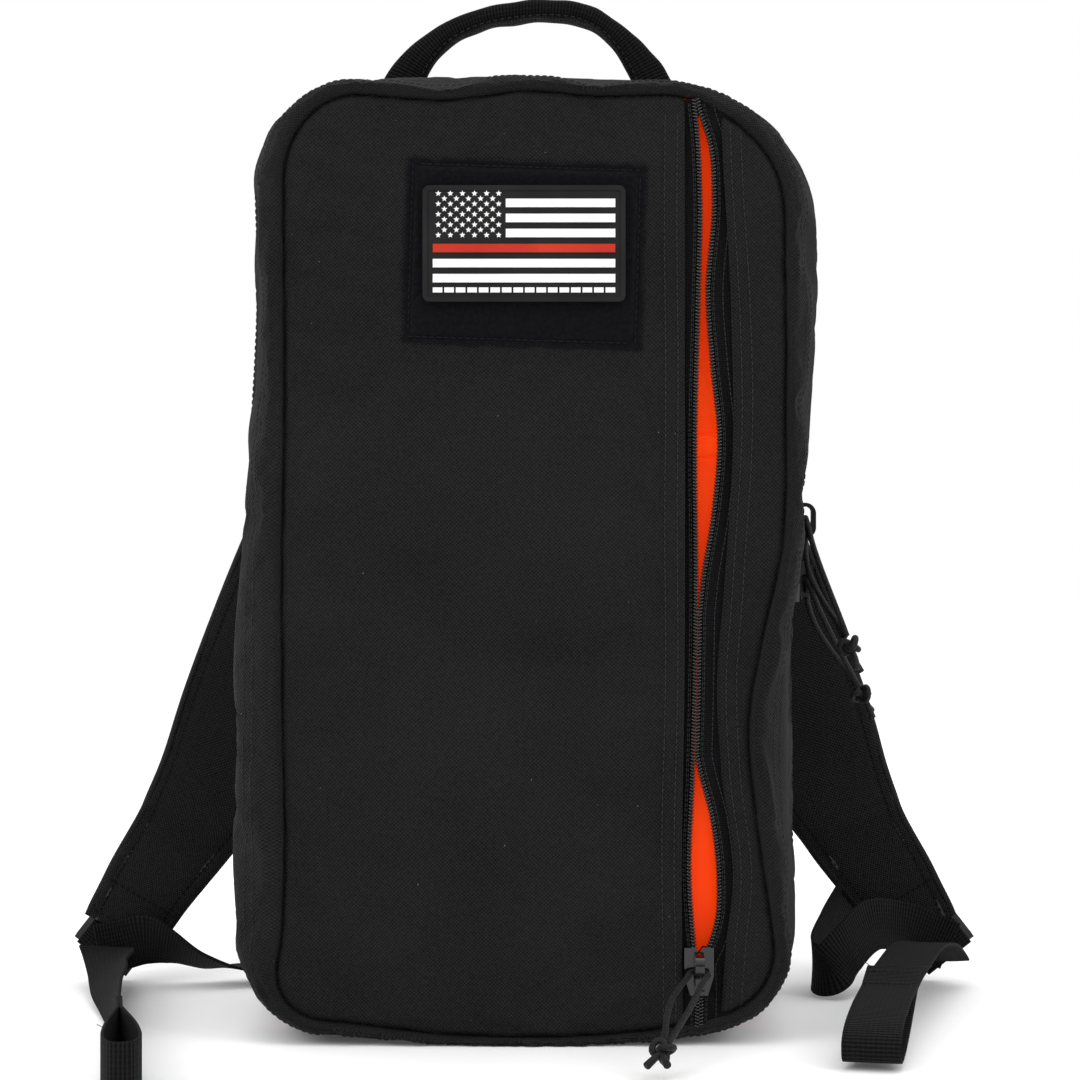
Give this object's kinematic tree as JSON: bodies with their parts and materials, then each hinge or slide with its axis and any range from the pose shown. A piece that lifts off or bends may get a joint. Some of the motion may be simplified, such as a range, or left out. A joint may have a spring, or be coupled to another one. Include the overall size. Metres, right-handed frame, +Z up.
{
  "type": "trauma backpack",
  "caption": "Slim clamshell trauma backpack with an offset vertical front zip, a loop field with a moulded patch, cord zip pulls, a webbing carry handle and padded shoulder straps.",
  "frame": {"origin": "centre of the body's bottom face, on the ground plane, halfway through the body's depth", "axes": "+Z up, front panel faces -Y, +X to the viewer's right when looking at the front panel"},
  "size_m": [0.455, 0.3239, 0.488],
  "materials": {
    "pack_cloth": "plain-weave coated nylon, slight sheen",
    "lining_cloth": "smooth orange pack cloth",
    "air_mesh": "open spacer mesh",
    "binding_tape": "ribbed tape",
    "zip_tape": "woven zip tape",
    "zip_coil": "nylon coil",
    "webbing": "ribbed nylon webbing",
    "frame_plastic": "matte sheet",
    "foam": "closed-cell foam",
    "loop_pile": "fuzzy loop pile",
    "hook_tape": "moulded hooks",
    "patch_rubber": "soft matte moulded rubber",
    "patch_white": "soft matte moulded rubber",
    "patch_red": "soft matte moulded rubber",
    "slider_metal": "glossy black enamel",
    "cord": "braided cord",
    "lock_plastic": "glossy moulded acetal"
  },
  "bodies": {
    "rear_shell": {"rear_gusset": "pack_cloth", "back_panel": "pack_cloth", "frame_sheet": "frame_plastic", "back_foam": "foam", "back_mesh_pads": "air_mesh", "rear_lining": "lining_cloth", "rear_seam_binding": "binding_tape", "main_zip_tape_rear": "zip_tape", "main_zip_coil_rear": "zip_coil", "sleeve_panel": "lining_cloth", "sleeve_binding": "binding_tape", "sleeve_tab": "webbing", "strap_yoke": "pack_cloth", "anchor_tab_left": "pack_cloth", "anchor_tab_right": "pack_cloth", "hinge_strip": "pack_cloth", "adjuster_webbing_left": "webbing", "adjuster_webbing_right": "webbing"},
    "front_shell": {"front_panel": "pack_cloth", "side_strip": "pack_cloth", "front_gusset": "pack_cloth", "front_seam_binding": "binding_tape", "front_lining": "lining_cloth", "main_zip_tape_front": "zip_tape", "main_zip_coil_front": "zip_coil", "front_zip_tape_left": "zip_tape", "front_zip_tape_right": "zip_tape", "front_zip_coil_left": "zip_coil", "front_zip_coil_right": "zip_coil", "pocket_wall": "lining_cloth", "organizer_pocket": "lining_cloth", "organizer_binding": "lining_cloth", "loop_panel": "loop_pile", "lid_mesh_pocket": "air_mesh", "lid_mesh_binding": "binding_tape"},
    "patch": {"patch_hook_backing": "hook_tape", "patch_base": "patch_rubber", "patch_white_marks": "patch_white", "patch_red_stripe": "patch_red"},
    "front_zip_slider": {"front_slider": "slider_metal"},
    "front_zip_pull": {"front_pull_cord": "cord"},
    "upper_zip_slider": {"main_slider_upper": "slider_metal"},
    "upper_zip_pull": {"main_pull_upper": "cord"},
    "lower_zip_slider": {"main_slider_lower": "slider_metal"},
    "lower_zip_pull": {"main_pull_lower": "cord"},
    "handle": {"carry_handle": "webbing"},
    "left_strap": {"strap_cover_left": "pack_cloth", "strap_foam_left": "foam", "strap_mesh_left": "air_mesh", "lock_loop_left": "webbing"},
    "right_strap": {"strap_cover_right": "pack_cloth", "strap_foam_right": "foam", "strap_mesh_right": "air_mesh", "lock_loop_right": "webbing"},
    "left_lock": {"ladder_lock_left": "lock_plastic"},
    "right_lock": {"ladder_lock_right": "lock_plastic"},
    "left_tail": {"webbing_tail_left": "webbing"},
    "right_tail": {"webbing_tail_right": "webbing"}
  },
  "joints": [
    {"name": "lid_hinge", "type": "hinge", "parent": "rear_shell", "child": "front_shell", "pos_m": [0, -0.02, 0], "axis": [1, 0, 0], "range_deg": [0, 180]},
    {"name": "front_zip_travel", "type": "slide", "parent": "front_shell", "child": "front_zip_slider", "axis": [0, 0, 1], "range_m": [0, 0.355]},
    {"name": "front_pull_swing", "type": "hinge", "parent": "front_zip_slider", "child": "front_zip_pull", "pos_m": [0.078, -0.07878, 0.033], "axis": [1, 0, 0], "range_deg": [-95, 58]},
    {"name": "upper_zip_travel", "type": "slide", "parent": "rear_shell", "child": "upper_zip_slider", "axis": [0, 0, 1], "range_m": [0, 0.14]},
    {"name": "upper_pull_swing", "type": "hinge", "parent": "upper_zip_slider", "child": "upper_zip_pull", "pos_m": [0.1307, -0.02, 0.232], "axis": [0, -1, 0], "range_deg": [-2, 130]},
    {"name": "lower_zip_travel", "type": "slide", "parent": "rear_shell", "child": "lower_zip_slider", "axis": [0, 0, -1], "range_m": [0, 0.1]},
    {"name": "lower_pull_swing", "type": "hinge", "parent": "lower_zip_slider", "child": "lower_zip_pull", "pos_m": [0.1307, -0.02, 0.205], "axis": [0, -1, 0], "range_deg": [-20, 20]},
    {"name": "patch_lift", "type": "slide", "parent": "front_shell", "child": "patch", "axis": [0, -1, 0], "range_m": [0, 0.06]},
    {"name": "handle_swing", "type": "hinge", "parent": "rear_shell", "child": "handle", "pos_m": [0, 0.066, 0.4339], "axis": [1, 0, 0], "range_deg": [-75, 75]},
    {"name": "left_strap_swing", "type": "hinge", "parent": "rear_shell", "child": "left_strap", "pos_m": [-0.038, 0.077, 0.4136], "axis": [1, 0, 0], "range_deg": [0, 35], "deforming": ["adjuster_webbing_left"]},
    {"name": "right_strap_swing", "type": "hinge", "parent": "rear_shell", "child": "right_strap", "pos_m": [0.038, 0.077, 0.4136], "axis": [1, 0, 0], "range_deg": [0, 35], "deforming": ["adjuster_webbing_right"]},
    {"name": "left_lock_tilt", "type": "hinge", "parent": "left_strap", "child": "left_lock", "pos_m": [-0.2, 0.091, 0.031], "axis": [0.788, 0, -0.6157], "range_deg": [-4, 60]},
    {"name": "right_lock_tilt", "type": "hinge", "parent": "right_strap", "child": "right_lock", "pos_m": [0.2, 0.091, 0.031], "axis": [0.788, 0, 0.6157], "range_deg": [-4, 60]},
    {"name": "left_tail_swing", "type": "hinge", "parent": "left_lock", "child": "left_tail", "pos_m": [-0.21108, 0.091, 0.01682], "axis": [-1, 0, 0], "range_deg": [0, 40]},
    {"name": "right_tail_swing", "type": "hinge", "parent": "right_lock", "child": "right_tail", "pos_m": [0.21108, 0.091, 0.01682], "axis": [-1, 0, 0], "range_deg": [0, 40]}
  ]
}
